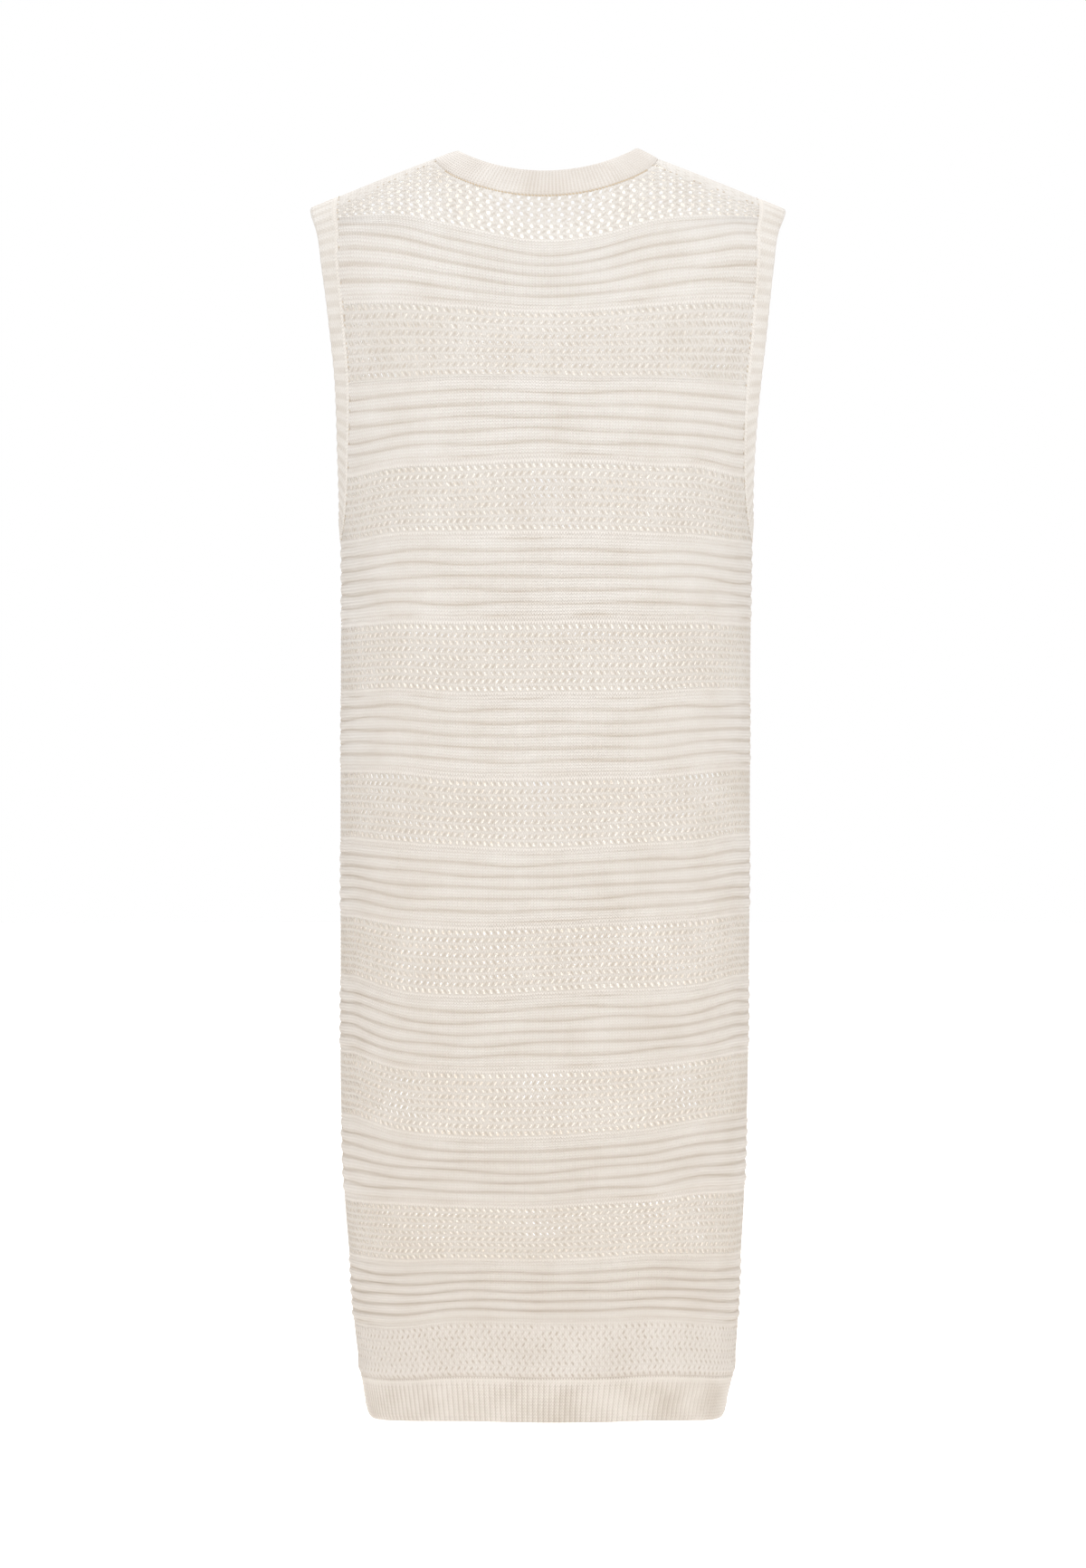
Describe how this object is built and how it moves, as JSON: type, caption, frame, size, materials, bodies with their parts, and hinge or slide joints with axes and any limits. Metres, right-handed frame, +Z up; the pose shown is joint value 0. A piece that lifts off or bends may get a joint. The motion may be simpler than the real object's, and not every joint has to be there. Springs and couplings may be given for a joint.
{
  "type": "sleeveless knitted sweater vest, worn form",
  "caption": "Long straight sleeveless knitted sweater vest, filled out as when worn, with bands of raised welts between bands of openwork net, ribbed neck and armhole bands and a ribbed hem.",
  "frame": {"origin": "in the middle of the neck opening, level with the shoulder line just outside the neck band, where the wearer's shoulders hold the garment", "axes": "+Z up, the wearer's back faces -Y and the front faces +Y, +X towards the wearer's right"},
  "size_m": [0.4201, 0.257, 1.1207],
  "materials": {
    "body_knit": "matt knitted cotton yarn, cream",
    "band_rib": "matt ribbed cotton knit, cream",
    "hem_knit": "matt ribbed cotton knit, cream"
  },
  "bodies": {
    "root": {"back_panel": "body_knit", "front_panel": "body_knit", "neck_band": "band_rib", "armhole_band_left": "band_rib", "armhole_band_right": "band_rib", "hem_rib_back": "hem_knit", "hem_rib_front": "hem_knit"}
  },
  "joints": []
}
